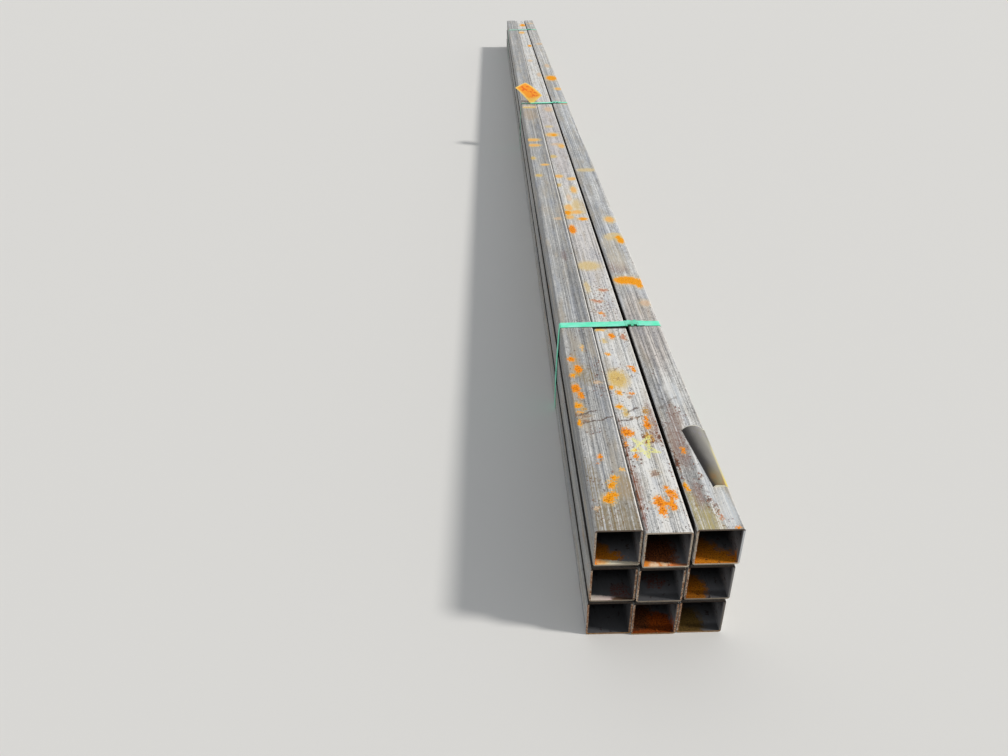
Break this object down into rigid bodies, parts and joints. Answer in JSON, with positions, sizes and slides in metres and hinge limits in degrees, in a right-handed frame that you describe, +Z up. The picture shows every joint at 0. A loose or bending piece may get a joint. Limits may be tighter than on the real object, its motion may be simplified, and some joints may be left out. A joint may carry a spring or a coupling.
{
  "type": "strapped bundle of square steel tubes",
  "caption": "Long bundle of square hollow steel tubes, stacked in rows and columns and held by tight painted steel straps with crimped seals.",
  "frame": {"origin": "middle of the bounding box's footprint, on the floor that the straps rest on", "axes": "+Y along the tubes from the near end to the far end, +Z up, +X to the right seen from the near end"},
  "size_m": [0.3496, 9.014, 0.4026],
  "materials": {
    "tube_steel": "mill finish, streaked and rust spotted",
    "strap_paint": "thin green paint, semi gloss",
    "seal_paint": "thin green paint, scuffed",
    "tag_card": "matte orange card",
    "label_card": "weathered dark card with a pale back"
  },
  "bodies": {
    "root": {"curled_label": "label_card", "seal_far": "seal_paint", "seal_middle": "seal_paint", "seal_near": "seal_paint", "strap_far": "strap_paint", "strap_middle": "strap_paint", "strap_near": "strap_paint", "tube_bottom_centre": "tube_steel", "tube_bottom_left": "tube_steel", "tube_bottom_right": "tube_steel", "tube_middle_centre": "tube_steel", "tube_middle_left": "tube_steel", "tube_middle_right": "tube_steel", "tube_top_centre": "tube_steel", "tube_top_left": "tube_steel", "tube_top_right": "tube_steel", "tucked_tag": "tag_card"}
  },
  "joints": []
}
